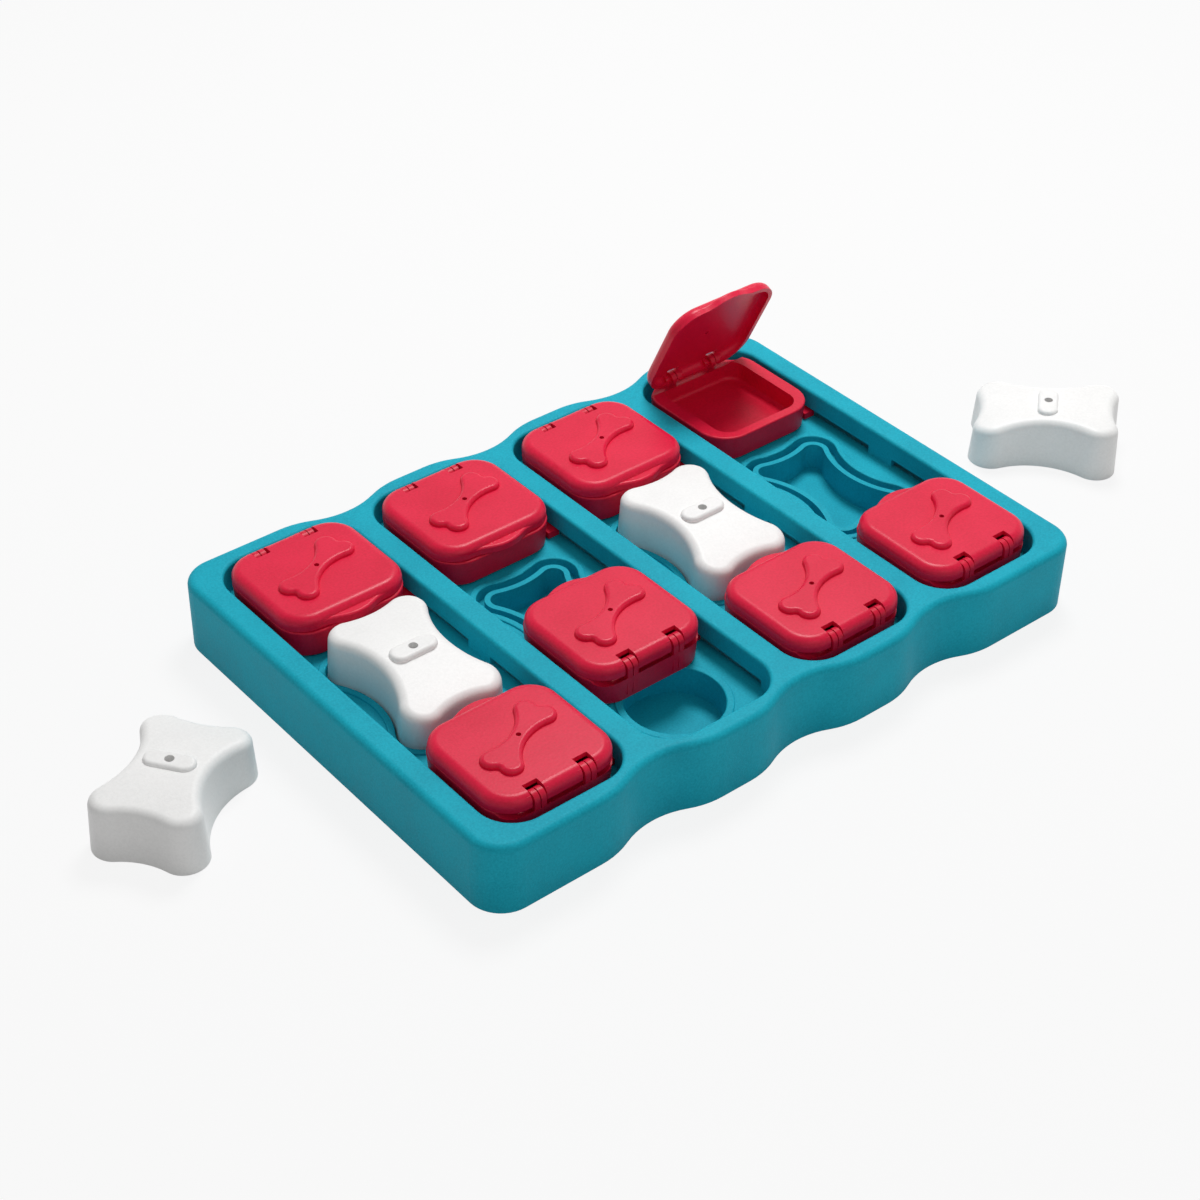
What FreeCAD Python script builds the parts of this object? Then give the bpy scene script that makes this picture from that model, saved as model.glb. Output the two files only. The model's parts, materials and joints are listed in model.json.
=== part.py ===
"""Dog puzzle feeder: a tray with four tracks, eight sliding treat boxes with hinged lids, and four bone covers.

Frame: origin at the middle of the tray on the ground, X across the tracks, Y along them, Z up. Millimetres.
"""

import FreeCAD, Part
import math
import os

from FreeCAD import Vector

# Tray
TRAY_LENGTH = 320.0
TRAY_DEPTH = 222.0
TRAY_HEIGHT = 33.5
TRAY_CORNER_R = 15.0
TRAY_WALL = 3.0
DECK_THICKNESS = 3.0
TRAY_TOP_EDGE_R = 3.2
WAVE_DEPTH = 6.7
WAVE_HALF_WIDTH = 31.0
RIB_THICKNESS = 2.4
RIB_EDGE_R = 0.6

# Tracks
TRACK_COUNT = 4
TRACK_WIDTH = 65.1
TRACK_SIDE_MARGIN = 12.04
TRACK_END_MARGIN = 8.7
TRACK_CORNER_R = 16.0
TRACK_FLOOR_Z = 20.0
TRACK_EDGE_R = 1.6
TROUGH_SKIN = 2.4

# Round treat wells, one under each box, and their raised rings
WELL_R = 21.0
WELL_OUT_OF_BOX = 3.2
WELL_FLOOR_Z = 7.0
WELL_RING_WIDTH = 3.4
RING_HEIGHT = 0.7

# Guide slots low in the track walls
SLOT_HEIGHT = 4.2
SLOT_END_PLAY = 1.2
SLOT_WEB_HALF = 7.4

# Bone covers
BONE_LENGTH = 69.2
BONE_WIDTH = 48.4
BONE_WAIST_WIDTH = 34.6
BONE_END_DIP = 2.4
BONE_LOBE_R = 10.0
BONE_WALL = 2.3
BONE_HIGH_END = 24.8
BONE_MIDDLE = 24.6
BONE_LOW_END = 18.4
BONE_DRAFT = 1.6
BONE_TOP_EDGE_R = 4.0
GRIP_LENGTH = 22.0
GRIP_WIDTH = 9.6
GRIP_HEIGHT = 1.9
GRIP_EDGE_R = 1.7
BONE_HOLE_R = 2.0

# Bone seat in the track floor: a groove for the bone's rim round an inner treat pocket
SEAT_GROOVE_FLOOR_Z = 15.0
SEAT_CLEARANCE = 0.6
SEAT_LIP_WIDTH = 2.5
SEAT_BEAD_WIDTH = 3.0

# Sliding boxes
BOX_SIDE_GAP = 2.35
BOX_END_GAP = 3.9
BOX_FRONT = 29.0
BOX_REAR = 29.6
BOX_CORNER_R = 14.5
BOX_BOTTOM_Z = 21.1
BOX_RIM_Z = 33.0
BOX_FLOOR = 2.2
BOX_DRAFT = 0.8
BOX_SIDE_RIM = 6.7
BOX_FRONT_RIM = 4.5
BOX_REAR_RIM = 6.1
BOX_INNER_R = 8.0
BOX_RIM_EDGE_R = 0.8
BOX_FLOOR_EDGE_R = 2.0
TAB_HEIGHT = 3.0
TAB_REACH = 1.6
TAB_FRONT_LENGTH = 10.0
TAB_REAR_LENGTH = 8.0
TAB_FRONT_PLACE = 18.0
TAB_REAR_PLACE = 14.0
TAB_LIFT = 0.3
TAB_ROOT = 1.8

# Lids
LID_TOP_Z = 39.4
LID_FRONT = 27.6
LID_REAR = 28.7
LID_CORNER_R = 13.5
LID_GAP = 0.3
LID_SKIN = 2.2
LID_TOP_EDGE_R = 4.0
LIP_BULGE = 3.7
LIP_HALF_WIDTH = 17.0
LIP_HEIGHT = 3.4
LIP_EDGE_R = 1.1
LID_HOLE_R = 1.1

# Raised bone figure on the lid
FIGURE_LENGTH = 42.0
FIGURE_WIDTH = 18.0
FIGURE_KNOB_R = 4.9
FIGURE_WAIST_WIDTH = 7.4
FIGURE_END_DIP = 1.4
FIGURE_HEIGHT = 2.2
FIGURE_TURN = 29.0
FIGURE_EDGE_R = 1.9

# Lid hinge: a round bar across each of two notches in the lid, held by two hooks of the box
HINGE_FROM_CENTRE = 26.0
HINGE_Z = 35.2
HINGE_PLACE = 12.1
NOTCH_WIDTH = 7.0
NOTCH_FRONT = 21.9
BAR_R = 1.6
BAR_CLEARANCE = 0.08
HOOK_WIDTH = 2.5
HOOK_WALL = 1.7
HOOK_GAP = 0.5
SWING_CLEARANCE = 0.5

# How the pieces stand: slide of the near box of track 2, angle of the open lid of track 4
SLID_BOX_TRAVEL = 38.1
OPEN_LID_ANGLE = 65.0
LEFT_BONE_OUT = 59.3
LEFT_BONE_Y = 17.6
LEFT_BONE_TURN = 126.0
RIGHT_BONE_OUT = 79.6
RIGHT_BONE_Y = -20.2
RIGHT_BONE_TURN = 220.5

UP = Vector(0, 0, 1)
BIG = 400.0

TRACK_PITCH = (TRAY_LENGTH - 2 * TRACK_SIDE_MARGIN - TRACK_WIDTH) / (TRACK_COUNT - 1)
TRACK_LENGTH = TRAY_DEPTH - 2 * TRACK_END_MARGIN
BOX_HALF_WIDTH = TRACK_WIDTH / 2 - BOX_SIDE_GAP
BOX_FROM_MIDDLE = TRACK_LENGTH / 2 - BOX_END_GAP - BOX_REAR
WELL_FROM_MIDDLE = BOX_FROM_MIDDLE + WELL_OUT_OF_BOX
SLOT_OUTER_END = BOX_FROM_MIDDLE + TAB_REAR_PLACE + TAB_REAR_LENGTH / 2 + SLOT_END_PLAY
LID_HALF_WIDTH = BOX_HALF_WIDTH
LID_BOTTOM_Z = BOX_RIM_Z + LID_GAP
SWING_R = math.hypot(LID_REAR - LID_TOP_EDGE_R - HINGE_FROM_CENTRE, LID_TOP_Z - HINGE_Z) + SWING_CLEARANCE


def track_x(track):
    """Middle of a track, tracks counted 1 to 4 from the left."""
    return (track - (TRACK_COUNT + 1) / 2) * TRACK_PITCH


def arc(p, middle, q):
    return Part.Arc(p, middle, q).toShape()


def line(p, q):
    return Part.LineSegment(p, q).toShape()


def prism(edges, low, high):
    """Solid between two heights whose outline is a list of edges at height 0."""
    wire = Part.Wire(Part.__sortEdges__(edges))
    face = Part.Face(wire)
    solid = face.extrude(UP * (high - low))
    solid.translate(UP * low)
    return solid


def block(x0, x1, y0, y1, z0, z1):
    return Part.makeBox(x1 - x0, y1 - y0, z1 - z0, Vector(x0, y0, z0))


def rounded_outline(x0, x1, y0, y1, r):
    """Edges of a rectangle with round corners."""
    k = r * (1 - math.sqrt(0.5))
    return [
        line(Vector(x0 + r, y0, 0), Vector(x1 - r, y0, 0)),
        arc(Vector(x1 - r, y0, 0), Vector(x1 - k, y0 + k, 0), Vector(x1, y0 + r, 0)),
        line(Vector(x1, y0 + r, 0), Vector(x1, y1 - r, 0)),
        arc(Vector(x1, y1 - r, 0), Vector(x1 - k, y1 - k, 0), Vector(x1 - r, y1, 0)),
        line(Vector(x1 - r, y1, 0), Vector(x0 + r, y1, 0)),
        arc(Vector(x0 + r, y1, 0), Vector(x0 + k, y1 - k, 0), Vector(x0, y1 - r, 0)),
        line(Vector(x0, y1 - r, 0), Vector(x0, y0 + r, 0)),
        arc(Vector(x0, y0 + r, 0), Vector(x0 + k, y0 + k, 0), Vector(x0 + r, y0, 0)),
    ]


def edges_at(shape, z, keep=lambda e: True):
    """Edges that lie wholly at one height."""
    found = []
    for edge in shape.Edges:
        box = edge.BoundBox
        if abs(box.ZMin - z) < 1e-4 and abs(box.ZMax - z) < 1e-4 and keep(edge):
            found.append(edge)
    return found


def wave_step(x0, y0, x1, y1):
    """Two equal tangent arcs that lead from one level of the wavy side to another."""
    dx = x1 - x0
    dy = y1 - y0
    radius = (dx * dx + dy * dy) / (4 * abs(dy))
    middle = Vector((x0 + x1) / 2, (y0 + y1) / 2, 0)
    half_turn = math.asin(abs(dx) / 2 / radius) / 2
    side = math.copysign(1, dy)
    along = math.copysign(radius * math.sin(half_turn), dx)
    rise = side * radius * (1 - math.cos(half_turn))
    first = arc(Vector(x0, y0, 0), Vector(x0 + along, y0 + rise, 0), middle)
    second = arc(middle, Vector(x1 - along, y1 - rise, 0), Vector(x1, y1, 0))
    return [first, second]


def tray_outline(inset):
    """Edges of the tray's outline: straight ends, and front and back sides that dip at each divider."""
    half_x = TRAY_LENGTH / 2 - inset
    half_y = TRAY_DEPTH / 2 - inset
    r = TRAY_CORNER_R - inset
    k = r * (1 - math.sqrt(0.5))
    edges = []
    for side in (-1, 1):
        y = side * half_y
        low = side * (half_y - WAVE_DEPTH)
        x = -half_x + r
        for divider in range(1, TRACK_COUNT):
            middle = (track_x(divider) + track_x(divider + 1)) / 2
            edges.append(line(Vector(x, y, 0), Vector(middle - WAVE_HALF_WIDTH, y, 0)))
            edges += wave_step(middle - WAVE_HALF_WIDTH, y, middle, low)
            edges += wave_step(middle, low, middle + WAVE_HALF_WIDTH, y)
            x = middle + WAVE_HALF_WIDTH
        edges.append(line(Vector(x, y, 0), Vector(half_x - r, y, 0)))
        for end in (-1, 1):
            start = Vector(end * (half_x - r), y, 0)
            stop = Vector(end * half_x, side * (half_y - r), 0)
            edges.append(arc(start, Vector(end * (half_x - k), side * (half_y - k), 0), stop))
    for end in (-1, 1):
        edges.append(line(Vector(end * half_x, -half_y + r, 0), Vector(end * half_x, half_y - r, 0)))
    return edges


def bone_shape(width, length, waist, end_dip, r, offset=0.0):
    """Edges of a bone along Y: four lobes of radius r joined by hollow arcs, all moved out by an offset."""
    cx = width / 2 - r
    cy = length / 2 - r
    side = waist / 2
    end = length / 2 - end_dip
    side_r = ((side - cx) ** 2 + cy**2 - r**2) / (2 * (r - side + cx))
    end_r = ((end - cy) ** 2 + cx**2 - r**2) / (2 * (r - end + cy))
    lobe = r + offset

    def touch(centre, far):
        """Point where a lobe meets the hollow arc whose centre is far."""
        return centre + (far - centre).normalize() * lobe

    edges = []
    for sx in (-1, 1):
        for sy in (-1, 1):
            centre = Vector(sx * cx, sy * cy, 0)
            a = touch(centre, Vector(sx * (side + side_r), 0, 0))
            b = touch(centre, Vector(0, sy * (end + end_r), 0))
            out = Vector(sx, sy, 0).normalize() * lobe
            edges.append(arc(a, centre + out, b))
    for s in (-1, 1):
        far = Vector(s * (side + side_r), 0, 0)
        a = touch(Vector(s * cx, -cy, 0), far)
        b = touch(Vector(s * cx, cy, 0), far)
        edges.append(arc(a, Vector(s * (side + offset), 0, 0), b))
        far = Vector(0, s * (end + end_r), 0)
        a = touch(Vector(-cx, s * cy, 0), far)
        b = touch(Vector(cx, s * cy, 0), far)
        edges.append(arc(a, Vector(0, s * (end + offset), 0), b))
    return edges


def bone_outline(offset):
    """Plan of the bone cover, moved out by an offset."""
    return bone_shape(BONE_WIDTH, BONE_LENGTH, BONE_WAIST_WIDTH, BONE_END_DIP, BONE_LOBE_R, offset)


def raised_ring(outer, inner, z, height):
    """Low bead between two solids' outlines, with its top edges rounded."""
    ring = outer.cut(inner)
    return ring.makeFillet(height * 0.8, edges_at(ring, z + height))


def make_tray():
    """The tray in five pieces that meet without a gap: its outer shell with the deck, and one pan to a track."""
    half_w = TRACK_WIDTH / 2
    half_l = TRACK_LENGTH / 2
    pocket_offset = -BONE_WALL - SEAT_CLEARANCE - SEAT_LIP_WIDTH
    under = TRACK_FLOOR_Z - TROUGH_SKIN
    tray = prism(tray_outline(0), 0, TRAY_HEIGHT)
    tray = tray.makeFillet(TRAY_TOP_EDGE_R, edges_at(tray, TRAY_HEIGHT))

    hollow = prism(tray_outline(TRAY_WALL), -1, TRAY_HEIGHT - DECK_THICKNESS)
    pans = []
    openings = []
    beads = []
    for track in range(1, TRACK_COUNT + 1):
        x = track_x(track)
        s = TROUGH_SKIN
        outside = rounded_outline(-half_w - s, half_w + s, -half_l - s, half_l + s, TRACK_CORNER_R + s)
        pan_top = TRAY_HEIGHT - DECK_THICKNESS
        skin = [prism(outside, under, pan_top)]
        inside = rounded_outline(-half_w, half_w, -half_l, half_l, TRACK_CORNER_R)
        space = [prism(inside, TRACK_FLOOR_Z, TRAY_HEIGHT + 1)]

        skin.append(prism(bone_outline(SEAT_CLEARANCE + s), SEAT_GROOVE_FLOOR_Z - s, pan_top))
        skin.append(prism(bone_outline(pocket_offset + s), WELL_FLOOR_Z - s, pan_top))
        groove = prism(bone_outline(SEAT_CLEARANCE), SEAT_GROOVE_FLOOR_Z, TRACK_FLOOR_Z)
        lip = prism(bone_outline(pocket_offset + SEAT_LIP_WIDTH), SEAT_GROOVE_FLOOR_Z - 1, TRACK_FLOOR_Z + 1)
        space.append(groove.cut(lip))
        space.append(prism(bone_outline(pocket_offset), WELL_FLOOR_Z, TRACK_FLOOR_Z + 1))
        outer = prism(bone_outline(SEAT_CLEARANCE + SEAT_BEAD_WIDTH), TRACK_FLOOR_Z, TRACK_FLOOR_Z + RING_HEIGHT)
        inner = prism(bone_outline(SEAT_CLEARANCE), TRACK_FLOOR_Z - 1, TRACK_FLOOR_Z + 2)
        rings = [raised_ring(outer, inner, TRACK_FLOOR_Z, RING_HEIGHT)]

        for side in (-1, 1):
            at = Vector(0, side * WELL_FROM_MIDDLE, 0)
            depth = pan_top - WELL_FLOOR_Z
            skin.append(Part.makeCylinder(WELL_R + s, depth + s, at + UP * (WELL_FLOOR_Z - s)))
            space.append(Part.makeCylinder(WELL_R, depth, at + UP * WELL_FLOOR_Z))
            outer = Part.makeCylinder(WELL_R + WELL_RING_WIDTH, RING_HEIGHT, at + UP * TRACK_FLOOR_Z)
            inner = Part.makeCylinder(WELL_R, RING_HEIGHT * 4, at + UP * (TRACK_FLOOR_Z - 1))
            rings.append(raised_ring(outer, inner, TRACK_FLOOR_Z, RING_HEIGHT))
            y = sorted((side * SLOT_WEB_HALF, side * SLOT_OUTER_END))
            for wall in (-1, 1):
                u = sorted((wall * (half_w - 0.5), wall * (half_w + s + 1)))
                space.append(block(u[0], u[1], y[0], y[1], TRACK_FLOOR_Z, TRACK_FLOOR_Z + SLOT_HEIGHT))
        pan = skin[0].fuse(skin[1:])
        for group, pieces in ((pans, [pan]), (openings, space), (beads, rings)):
            for piece in pieces:
                piece.translate(Vector(x, 0, 0))
                group.append(piece)

    for pan in pans:
        hollow = hollow.cut(pan)
    for divider in range(1, TRACK_COUNT):
        x = (track_x(divider) + track_x(divider + 1)) / 2
        rib = block(x - RIB_THICKNESS / 2, x + RIB_THICKNESS / 2, -BIG, BIG, -2, TRAY_HEIGHT)
        hollow = hollow.cut(rib)
    tray = tray.cut(hollow)
    for opening in openings:
        tray = tray.cut(opening)
    rim = edges_at(tray, TRAY_HEIGHT, lambda e: abs(e.BoundBox.YMax) < TRACK_LENGTH / 2 + 0.01)
    rim = [e for e in rim if abs(e.BoundBox.YMin) < TRACK_LENGTH / 2 + 0.01]
    tray = tray.makeFillet(TRACK_EDGE_R, rim)
    for bead in beads:
        tray = tray.fuse(bead)
    tray = tray.removeSplitter()

    pieces = {}
    shell = tray
    for track, pan in enumerate(pans, 1):
        pieces[f"tray_track_{track}"] = tray.common(pan)
        shell = shell.cut(pan)
    pieces["tray_shell"] = shell
    return pieces


def make_box():
    """Box in its own frame: lid centre at x = y = 0, hinge side towards +Y, real heights."""
    w = BOX_HALF_WIDTH
    d = BOX_DRAFT
    low_edges = rounded_outline(-w + d, w - d, -BOX_FRONT + d, BOX_REAR - d, BOX_CORNER_R - d)
    high_edges = rounded_outline(-w, w, -BOX_FRONT, BOX_REAR, BOX_CORNER_R)
    low = Part.Wire(Part.__sortEdges__(low_edges))
    high = Part.Wire(Part.__sortEdges__(high_edges))
    low.translate(UP * BOX_BOTTOM_Z)
    high.translate(UP * BOX_RIM_Z)
    box = Part.makeLoft([low, high], True, True)
    box = box.makeFillet(BOX_RIM_EDGE_R, edges_at(box, BOX_RIM_Z))
    inner_w = w - BOX_SIDE_RIM
    floor = BOX_BOTTOM_Z + BOX_FLOOR
    inside = rounded_outline(-inner_w, inner_w, -BOX_FRONT + BOX_FRONT_RIM, BOX_REAR - BOX_REAR_RIM, BOX_INNER_R)
    cavity = prism(inside, floor, BOX_RIM_Z + 1)
    cavity = cavity.makeFillet(BOX_FLOOR_EDGE_R, edges_at(cavity, floor))
    box = box.cut(cavity)

    swing = Part.makeCylinder(SWING_R, BIG, Vector(-BIG / 2, HINGE_FROM_CENTRE, HINGE_Z), Vector(1, 0, 0))
    box = box.cut(swing)

    tab_reach = TRACK_WIDTH / 2 + TAB_REACH
    tab_low = TRACK_FLOOR_Z + TAB_LIFT
    for side in (-1, 1):
        x = sorted((side * (w - TAB_ROOT), side * tab_reach))
        for y, length in ((-TAB_FRONT_PLACE, TAB_FRONT_LENGTH), (TAB_REAR_PLACE, TAB_REAR_LENGTH)):
            tab = block(x[0], x[1], y - length / 2, y + length / 2, tab_low, tab_low + TAB_HEIGHT)
            box = box.fuse(tab)

    for hinge in (-1, 1):
        for prong in (-1, 1):
            x = hinge * HINGE_PLACE + prong * (HOOK_WIDTH + HOOK_GAP) / 2
            box = box.fuse(make_hook(x))
    return box.removeSplitter()


def make_hook(x):
    """One hook of the box that reaches up behind the lid's bar and over it."""
    inner = BAR_R + BAR_CLEARANCE
    outer = inner + HOOK_WALL
    x0 = x - HOOK_WIDTH / 2
    axis = Vector(x0, HINGE_FROM_CENTRE, HINGE_Z)
    ring = Part.makeCylinder(outer, HOOK_WIDTH, axis, Vector(1, 0, 0))
    y0 = HINGE_FROM_CENTRE + inner * 0.5
    post = block(x0, x0 + HOOK_WIDTH, y0, HINGE_FROM_CENTRE + outer, BOX_BOTTOM_Z + BOX_FLOOR, HINGE_Z)
    bar_space = Part.makeCylinder(inner, HOOK_WIDTH, axis, Vector(1, 0, 0))
    mouth = block(x0, x0 + HOOK_WIDTH, HINGE_FROM_CENTRE - BIG / 20, HINGE_FROM_CENTRE, 0, HINGE_Z)
    return ring.fuse(post).cut(bar_space).cut(mouth)


def lip_outline(bulge):
    """Edges of the lid's outline with the wavy finger lip on its free side."""
    w = LID_HALF_WIDTH
    r = LID_CORNER_R
    k = r * (1 - math.sqrt(0.5))
    front = -LID_FRONT
    edges = [
        line(Vector(-LIP_HALF_WIDTH, front, 0), Vector(-w + r, front, 0)),
        arc(Vector(-w + r, front, 0), Vector(-w + k, front + k, 0), Vector(-w, front + r, 0)),
        line(Vector(-w, front + r, 0), Vector(-w, LID_REAR - r, 0)),
        arc(Vector(-w, LID_REAR - r, 0), Vector(-w + k, LID_REAR - k, 0), Vector(-w + r, LID_REAR, 0)),
        line(Vector(-w + r, LID_REAR, 0), Vector(w - r, LID_REAR, 0)),
        arc(Vector(w - r, LID_REAR, 0), Vector(w - k, LID_REAR - k, 0), Vector(w, LID_REAR - r, 0)),
        line(Vector(w, LID_REAR - r, 0), Vector(w, front + r, 0)),
        arc(Vector(w, front + r, 0), Vector(w - k, front + k, 0), Vector(w - r, front, 0)),
    ]
    if w - r < LIP_HALF_WIDTH:
        edges = edges[1:]
    else:
        edges.append(line(Vector(w - r, front, 0), Vector(LIP_HALF_WIDTH, front, 0)))
    reach = min(LIP_HALF_WIDTH, w - r)
    edges += wave_step(reach, front, 0, front - bulge)
    edges += wave_step(0, front - bulge, -reach, front)
    return edges


def make_lid():
    """Closed lid in the same frame as its box."""
    w = LID_HALF_WIDTH
    dome = prism(rounded_outline(-w, w, -LID_FRONT, LID_REAR, LID_CORNER_R), LID_BOTTOM_Z, LID_TOP_Z)
    dome = dome.makeFillet(LID_TOP_EDGE_R, edges_at(dome, LID_TOP_Z))
    lip_top = LID_BOTTOM_Z + LIP_HEIGHT
    lip = prism(lip_outline(LIP_BULGE), LID_BOTTOM_Z, lip_top)
    lip = lip.makeFillet(LIP_EDGE_R, edges_at(lip, lip_top))
    lid = dome.fuse(lip)
    lid = lid.fuse(make_figure())

    s = LID_SKIN
    inside = rounded_outline(-w + s, w - s, -LID_FRONT + s, LID_REAR - s, LID_CORNER_R - s)
    inside = prism(inside, LID_BOTTOM_Z - 1, LID_TOP_Z - s)
    inside = inside.makeFillet(LID_TOP_EDGE_R - s * 0.5, edges_at(inside, LID_TOP_Z - s))
    lid = lid.cut(inside)

    for hinge in (-1, 1):
        x0 = hinge * HINGE_PLACE - NOTCH_WIDTH / 2
        x1 = x0 + NOTCH_WIDTH
        lid = lid.cut(block(x0, x1, NOTCH_FRONT, BIG, 0, BIG))
        ends = HOOK_WALL
        at = Vector(x0 - ends, HINGE_FROM_CENTRE, HINGE_Z)
        lid = lid.fuse(Part.makeCylinder(BAR_R, NOTCH_WIDTH + 2 * ends, at, Vector(1, 0, 0)))
        for a in (x0 - ends, x1):
            ear = block(a, a + ends, HINGE_FROM_CENTRE - BAR_R, HINGE_FROM_CENTRE + BAR_R, HINGE_Z, LID_TOP_Z - s / 2)
            lid = lid.fuse(ear)
    lid = lid.removeSplitter()
    hole = Part.makeCylinder(LID_HOLE_R, LID_TOP_Z, UP * LID_BOTTOM_Z)
    return lid.cut(hole)


def make_figure():
    """Raised bone figure on the lid, turned a little."""
    outline = bone_shape(FIGURE_WIDTH, FIGURE_LENGTH, FIGURE_WAIST_WIDTH, FIGURE_END_DIP, FIGURE_KNOB_R)
    figure = prism(outline, LID_TOP_Z - LID_SKIN / 2, LID_TOP_Z + FIGURE_HEIGHT)
    figure = figure.makeFillet(FIGURE_EDGE_R, edges_at(figure, LID_TOP_Z + FIGURE_HEIGHT))
    figure.rotate(Vector(0, 0, 0), UP, FIGURE_TURN - 90)
    return figure


def bone_roof(height_shift):
    """Space below the bone's curved top, which slopes from the high end at +Y down to the low end."""
    half = BONE_LENGTH / 2
    low = Vector(-BIG / 10, -half, BONE_LOW_END + height_shift)
    middle = Vector(-BIG / 10, 0, BONE_MIDDLE + height_shift)
    high = Vector(-BIG / 10, half, BONE_HIGH_END + height_shift)
    top = arc(low, middle, high)
    down = Vector(-BIG / 10, half, -BIG / 10)
    back = Vector(-BIG / 10, -half, -BIG / 10)
    wire = Part.Wire([top, line(high, down), line(down, back), line(back, low)])
    return Part.Face(wire).extrude(Vector(BIG / 5, 0, 0))


def make_bone():
    """Bone cover on the ground at the origin: a hollow cup with a grip bar and a small hole on top."""
    tall = max(BONE_HIGH_END, BONE_MIDDLE) + 4
    low = Part.Wire(Part.__sortEdges__(bone_outline(0)))
    high = Part.Wire(Part.__sortEdges__(bone_outline(-BONE_DRAFT)))
    high.translate(UP * tall)
    body = Part.makeLoft([low, high], True, True)
    body = body.common(bone_roof(0))
    top = [e for e in body.Edges if e.BoundBox.ZMin > BONE_LOW_END * 0.8]
    body = body.makeFillet(BONE_TOP_EDGE_R, top)

    half = GRIP_LENGTH / 2
    side = GRIP_WIDTH / 2
    grip_top = BONE_MIDDLE + GRIP_HEIGHT
    grip = prism(rounded_outline(-half, half, -side, side, side - 0.1), BONE_MIDDLE - 2, grip_top)
    grip = grip.makeFillet(GRIP_EDGE_R, edges_at(grip, grip_top))
    body = body.fuse(grip)

    low = Part.Wire(Part.__sortEdges__(bone_outline(-BONE_WALL)))
    high = Part.Wire(Part.__sortEdges__(bone_outline(-BONE_WALL - BONE_DRAFT)))
    low.translate(UP * -1)
    high.translate(UP * tall)
    inside = Part.makeLoft([low, high], True, True).common(bone_roof(-BONE_WALL))
    body = body.cut(inside)
    hole = Part.makeCylinder(BONE_HOLE_R, BIG / 4, Vector(0, 0, 1))
    return body.cut(hole).removeSplitter()


def placed(shape, x, y, z=0.0, turn=0.0):
    copy = shape.copy()
    if turn:
        copy.rotate(Vector(0, 0, 0), UP, turn)
    copy.translate(Vector(x, y, z))
    return copy


def export(name, shape):
    solids = shape.Solids
    if not shape.isValid() or len(solids) != 1:
        print("check", name, "valid", shape.isValid(), "solids", len(solids))
    solid = solids[0]
    solid.exportStep(os.path.join("parts", name + ".step"))
    box = solid.BoundBox
    print(name, round(solid.Volume), [round(v, 2) for v in (box.XMin, box.XMax, box.YMin, box.YMax, box.ZMin, box.ZMax)])


def main():
    os.makedirs("parts", exist_ok=True)
    for name, piece in make_tray().items():
        export(name, piece)
    box = make_box()
    lid = make_lid()
    bone = make_bone()
    for track in range(1, TRACK_COUNT + 1):
        for name, side, turn in (("rear", 1, 0.0), ("front", -1, 180.0)):
            y = side * BOX_FROM_MIDDLE
            if track == 2 and name == "front":
                y += SLID_BOX_TRAVEL
            export(f"track_{track}_{name}_box", placed(box, track_x(track), y, 0, turn))
            this_lid = lid.copy()
            if track == 4 and name == "rear":
                pivot = Vector(0, HINGE_FROM_CENTRE, HINGE_Z)
                this_lid.rotate(pivot, Vector(-1, 0, 0), OPEN_LID_ANGLE)
            export(f"track_{track}_{name}_lid", placed(this_lid, track_x(track), y, 0, turn))
    for track in (1, 3):
        export(f"track_{track}_bone", placed(bone, track_x(track), 0, SEAT_GROOVE_FLOOR_Z + TAB_LIFT))
    side = TRAY_LENGTH / 2
    export("left_loose_bone", placed(bone, -side - LEFT_BONE_OUT, LEFT_BONE_Y, 0, LEFT_BONE_TURN))
    export("right_loose_bone", placed(bone, side + RIGHT_BONE_OUT, RIGHT_BONE_Y, 0, RIGHT_BONE_TURN))


main()
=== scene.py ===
import json
import math

import bpy
from mathutils import Matrix, Vector


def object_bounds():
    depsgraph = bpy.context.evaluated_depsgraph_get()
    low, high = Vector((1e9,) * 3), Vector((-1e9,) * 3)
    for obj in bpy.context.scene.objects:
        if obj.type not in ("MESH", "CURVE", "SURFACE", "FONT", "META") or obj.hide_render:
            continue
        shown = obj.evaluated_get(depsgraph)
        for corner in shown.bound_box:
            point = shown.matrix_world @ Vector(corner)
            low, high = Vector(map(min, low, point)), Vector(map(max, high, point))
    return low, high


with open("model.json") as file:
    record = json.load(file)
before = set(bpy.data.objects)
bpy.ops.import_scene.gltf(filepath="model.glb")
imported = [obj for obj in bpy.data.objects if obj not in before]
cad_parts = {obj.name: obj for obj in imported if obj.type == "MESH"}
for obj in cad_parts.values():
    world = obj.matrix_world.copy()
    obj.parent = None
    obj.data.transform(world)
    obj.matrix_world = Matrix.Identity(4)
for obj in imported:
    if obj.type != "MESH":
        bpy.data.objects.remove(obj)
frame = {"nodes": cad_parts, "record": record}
cad_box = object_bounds()

# Camera, fitted to the photograph: metres, degrees, and millimetres for the sensor and the lens
CAMERA_PLACE = Vector((-0.53822, -0.62218, 0.64606))
LOOK_AZIMUTH = 39.876
LOOK_DOWN = 37.756
CAMERA_ROLL = 0.962
SENSOR_WIDTH = 36.0
LENS = 72.104
NEAREST = 0.01

# Studio: metres, watts for the lamps, and 1 for a white background
FLOOR_HALF = 3.0
FLOOR_DROP = 0.0002
FLOOR_COLOUR = (0.72, 0.72, 0.72, 1)
FLOOR_GLOW = 0.86
WORLD_LIGHT = 0.36
WHITE = (1, 1, 1, 1)
WHITE_STRENGTH = 1.0
KEY_PLACE = Vector((0.45, 0.35, 1.1))
KEY_SIZE = 0.45
KEY_POWER = 10.3
FILL_PLACE = Vector((-0.2, -1.1, 0.9))
FILL_SIZE = 0.9
FILL_POWER = 1.2
AIM = Vector((0, 0, 0.02))

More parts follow.
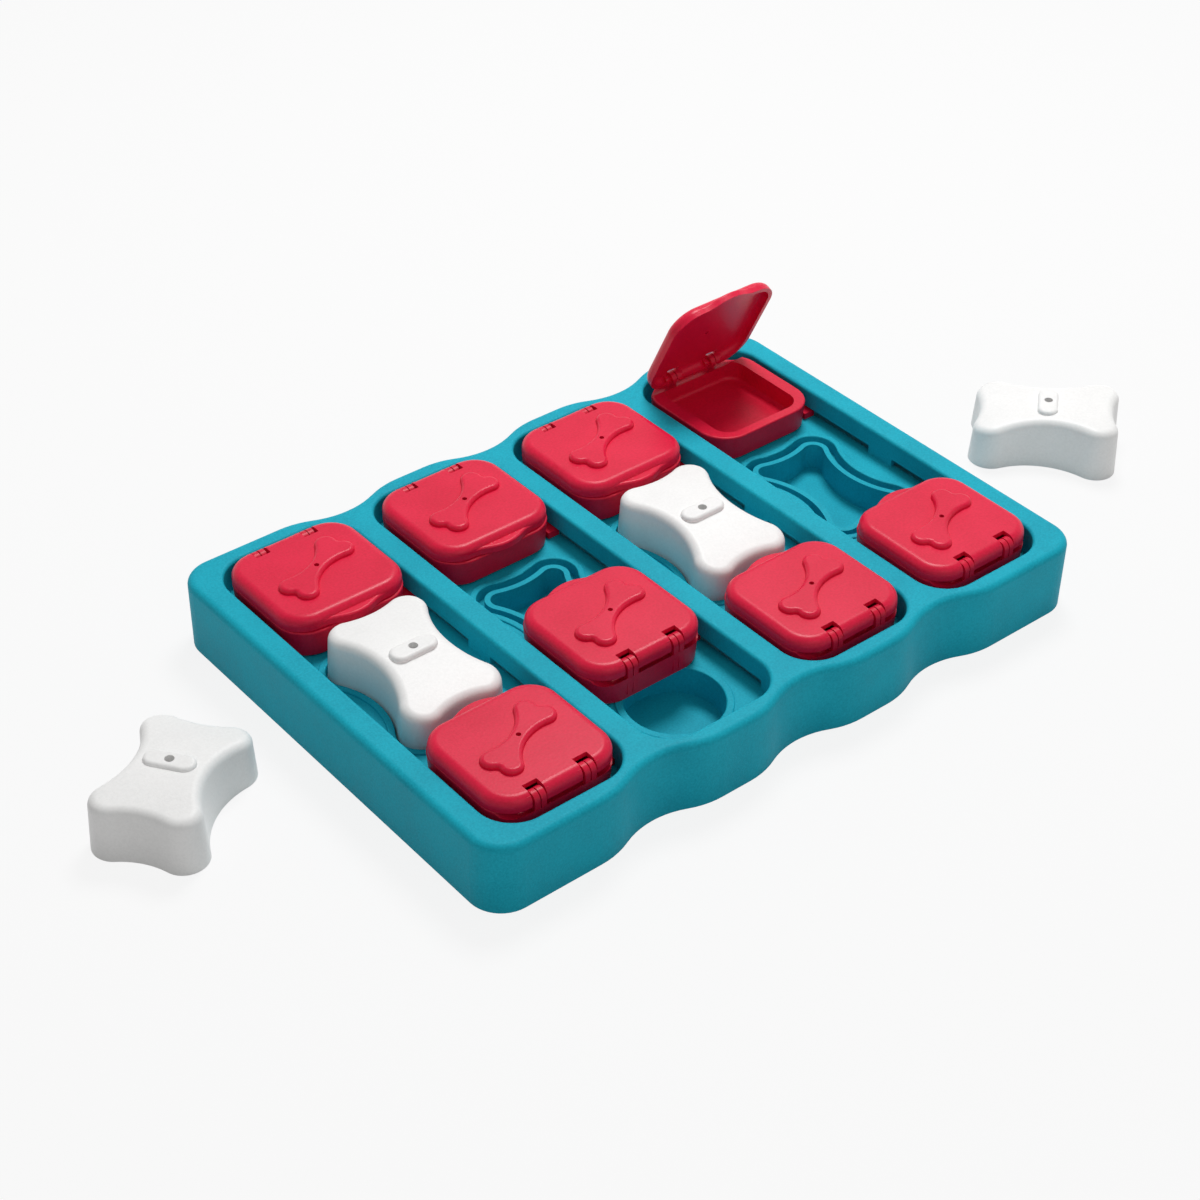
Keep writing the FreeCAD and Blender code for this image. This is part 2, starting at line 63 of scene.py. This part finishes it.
# Moulded surface: soft clouds and a speckle mixed into the tone, and fine pits
CLOUD_SCALE = 45.0
CLOUD_DETAIL = 4.0
SPECKLE_PER_GRAIN = 0.8
SPECKLE_DETAIL = 2.0
SPECKLE_SHARE = 0.55
DARK_BELOW = 0.35
LIGHT_ABOVE = 0.62
PIT_DETAIL = 3.0
PIT_ROUGHNESS = 0.6
PIT_STRENGTH = 0.8
ROUGH_DOWN = 0.06
ROUGH_UP = 0.08
PLASTIC_IOR = 1.49

# Finishes by material slot: light and dark tone, roughness, shine of the surface,
# and grain size and height in metres
FINISHES = {
    "tray_teal": {
        "light": (0.010, 0.430, 0.560),
        "dark": (0.004, 0.335, 0.450),
        "rough": 0.55,
        "shine": 0.13,
        "grain": 0.0007,
        "height": 0.00010,
    },
    "box_red": {
        "light": (0.720, 0.007, 0.045),
        "dark": (0.600, 0.004, 0.032),
        "rough": 0.36,
        "shine": 0.22,
        "grain": 0.0009,
        "height": 0.00006,
    },
    "lid_red": {
        "light": (0.780, 0.009, 0.055),
        "dark": (0.670, 0.005, 0.040),
        "rough": 0.33,
        "shine": 0.22,
        "grain": 0.0009,
        "height": 0.00007,
    },
    "bone_white": {
        "light": (0.930, 0.925, 0.915),
        "dark": (0.870, 0.866, 0.856),
        "rough": 0.42,
        "shine": 0.35,
        "grain": 0.0009,
        "height": 0.00006,
    },
}


def aim(obj, target):
    obj.rotation_euler = (target - obj.location).to_track_quat("-Z", "Y").to_euler()


def make_camera():
    az = math.radians(LOOK_AZIMUTH)
    down = math.radians(LOOK_DOWN)
    roll = math.radians(CAMERA_ROLL)
    forward = Vector((math.sin(az) * math.cos(down), math.cos(az) * math.cos(down), -math.sin(down)))
    level = Vector((math.cos(az), -math.sin(az), 0))
    above = level.cross(forward)
    right = math.cos(roll) * level + math.sin(roll) * above
    up = -math.sin(roll) * level + math.cos(roll) * above
    data = bpy.data.cameras.new("camera")
    data.sensor_width = SENSOR_WIDTH
    data.lens = LENS
    data.clip_start = NEAREST
    camera = bpy.data.objects.new("camera", data)
    turn = Matrix((right, up, -forward)).transposed()
    camera.matrix_world = Matrix.Translation(CAMERA_PLACE) @ turn.to_4x4()
    bpy.context.scene.collection.objects.link(camera)
    bpy.context.scene.camera = camera


def make_lamp(name, place, size, power):
    data = bpy.data.lights.new(name, "AREA")
    data.shape = "DISK"
    data.size = size
    data.energy = power
    lamp = bpy.data.objects.new(name, data)
    lamp.location = place
    aim(lamp, AIM)
    bpy.context.scene.collection.objects.link(lamp)


def seen_ray(nodes, links):
    """1 for the rays that show the background: straight, mirrored or through glass."""
    path = nodes.new("ShaderNodeLightPath")
    first = nodes.new("ShaderNodeMath")
    first.operation = "MAXIMUM"
    links.new(path.outputs["Is Camera Ray"], first.inputs[0])
    links.new(path.outputs["Is Glossy Ray"], first.inputs[1])
    both = nodes.new("ShaderNodeMath")
    both.operation = "MAXIMUM"
    links.new(first.outputs[0], both.inputs[0])
    links.new(path.outputs["Is Transmission Ray"], both.inputs[1])
    return both.outputs[0]


def make_world():
    world = bpy.data.worlds.new("studio")
    bpy.context.scene.world = world
    world.use_nodes = True
    nodes = world.node_tree.nodes
    links = world.node_tree.links
    nodes.clear()
    light = nodes.new("ShaderNodeBackground")
    light.inputs["Strength"].default_value = WORLD_LIGHT
    light.inputs["Color"].default_value = WHITE
    white = nodes.new("ShaderNodeBackground")
    white.inputs["Strength"].default_value = WHITE_STRENGTH
    white.inputs["Color"].default_value = WHITE
    mix = nodes.new("ShaderNodeMixShader")
    out = nodes.new("ShaderNodeOutputWorld")
    links.new(seen_ray(nodes, links), mix.inputs[0])
    links.new(light.outputs[0], mix.inputs[1])
    links.new(white.outputs[0], mix.inputs[2])
    links.new(mix.outputs[0], out.inputs[0])


def make_floor():
    bpy.ops.mesh.primitive_plane_add(size=FLOOR_HALF * 2, location=(0, 0, cad_box[0][2] - FLOOR_DROP))
    floor = bpy.context.object
    floor.name = "floor"
    material = bpy.data.materials.new("floor")
    material.use_nodes = True
    nodes = material.node_tree.nodes
    links = material.node_tree.links
    nodes.clear()
    diffuse = nodes.new("ShaderNodeBsdfDiffuse")
    diffuse.inputs["Color"].default_value = FLOOR_COLOUR
    glow = nodes.new("ShaderNodeEmission")
    glow.inputs["Color"].default_value = WHITE
    glow.inputs["Strength"].default_value = WHITE_STRENGTH
    mix = nodes.new("ShaderNodeMixShader")
    share = nodes.new("ShaderNodeMath")
    share.operation = "MULTIPLY"
    share.inputs[1].default_value = FLOOR_GLOW
    out = nodes.new("ShaderNodeOutputMaterial")
    links.new(seen_ray(nodes, links), share.inputs[0])
    links.new(share.outputs[0], mix.inputs[0])
    links.new(diffuse.outputs[0], mix.inputs[1])
    links.new(glow.outputs[0], mix.inputs[2])
    links.new(mix.outputs[0], out.inputs[0])
    floor.data.materials.append(material)


def make_plastic(name, light, dark, rough, shine, grain, height):
    """Moulded plastic: two close tones in soft clouds, and a fine eroded grain that the light picks up."""
    material = bpy.data.materials.new(name)
    material.use_nodes = True
    nodes = material.node_tree.nodes
    links = material.node_tree.links
    shader = nodes["Principled BSDF"]
    place = nodes.new("ShaderNodeTexCoord")

    clouds = nodes.new("ShaderNodeTexNoise")
    clouds.inputs["Scale"].default_value = CLOUD_SCALE
    clouds.inputs["Detail"].default_value = CLOUD_DETAIL
    links.new(place.outputs["Object"], clouds.inputs["Vector"])
    speckle = nodes.new("ShaderNodeTexNoise")
    speckle.inputs["Scale"].default_value = SPECKLE_PER_GRAIN / grain
    speckle.inputs["Detail"].default_value = SPECKLE_DETAIL
    links.new(place.outputs["Object"], speckle.inputs["Vector"])
    blend = nodes.new("ShaderNodeMix")
    blend.data_type = "FLOAT"
    blend.inputs["Factor"].default_value = SPECKLE_SHARE
    links.new(clouds.outputs["Fac"], blend.inputs["A"])
    links.new(speckle.outputs["Fac"], blend.inputs["B"])
    tone = nodes.new("ShaderNodeValToRGB")
    tone.color_ramp.elements[0].position = DARK_BELOW
    tone.color_ramp.elements[0].color = (*dark, 1)
    tone.color_ramp.elements[1].position = LIGHT_ABOVE
    tone.color_ramp.elements[1].color = (*light, 1)
    links.new(blend.outputs[0], tone.inputs["Fac"])
    links.new(tone.outputs["Color"], shader.inputs["Base Color"])

    pits = nodes.new("ShaderNodeTexNoise")
    pits.inputs["Scale"].default_value = 1.0 / grain
    pits.inputs["Detail"].default_value = PIT_DETAIL
    pits.inputs["Roughness"].default_value = PIT_ROUGHNESS
    links.new(place.outputs["Object"], pits.inputs["Vector"])
    bump = nodes.new("ShaderNodeBump")
    bump.inputs["Strength"].default_value = PIT_STRENGTH
    bump.inputs["Distance"].default_value = height
    links.new(pits.outputs["Fac"], bump.inputs["Height"])
    links.new(bump.outputs["Normal"], shader.inputs["Normal"])

    spread = nodes.new("ShaderNodeMapRange")
    spread.inputs["To Min"].default_value = rough - ROUGH_DOWN
    spread.inputs["To Max"].default_value = rough + ROUGH_UP
    links.new(clouds.outputs["Fac"], spread.inputs["Value"])
    links.new(spread.outputs["Result"], shader.inputs["Roughness"])
    shader.inputs["IOR"].default_value = PLASTIC_IOR
    shader.inputs["Specular IOR Level"].default_value = shine
    return material


def dress():
    """Gives every node the finish of its material slot."""
    plastics = {slot: make_plastic(slot, **finish) for slot, finish in FINISHES.items()}
    for part in frame["record"]["subparts"]:
        node = frame["nodes"][part["node"]]
        node.data.materials.clear()
        node.data.materials.append(plastics[part["material_slot"]])


make_camera()
make_world()
make_floor()
make_lamp("key", KEY_PLACE, KEY_SIZE, KEY_POWER)
make_lamp("fill", FILL_PLACE, FILL_SIZE, FILL_POWER)
dress()
bpy.context.scene.view_settings.view_transform = "Standard"
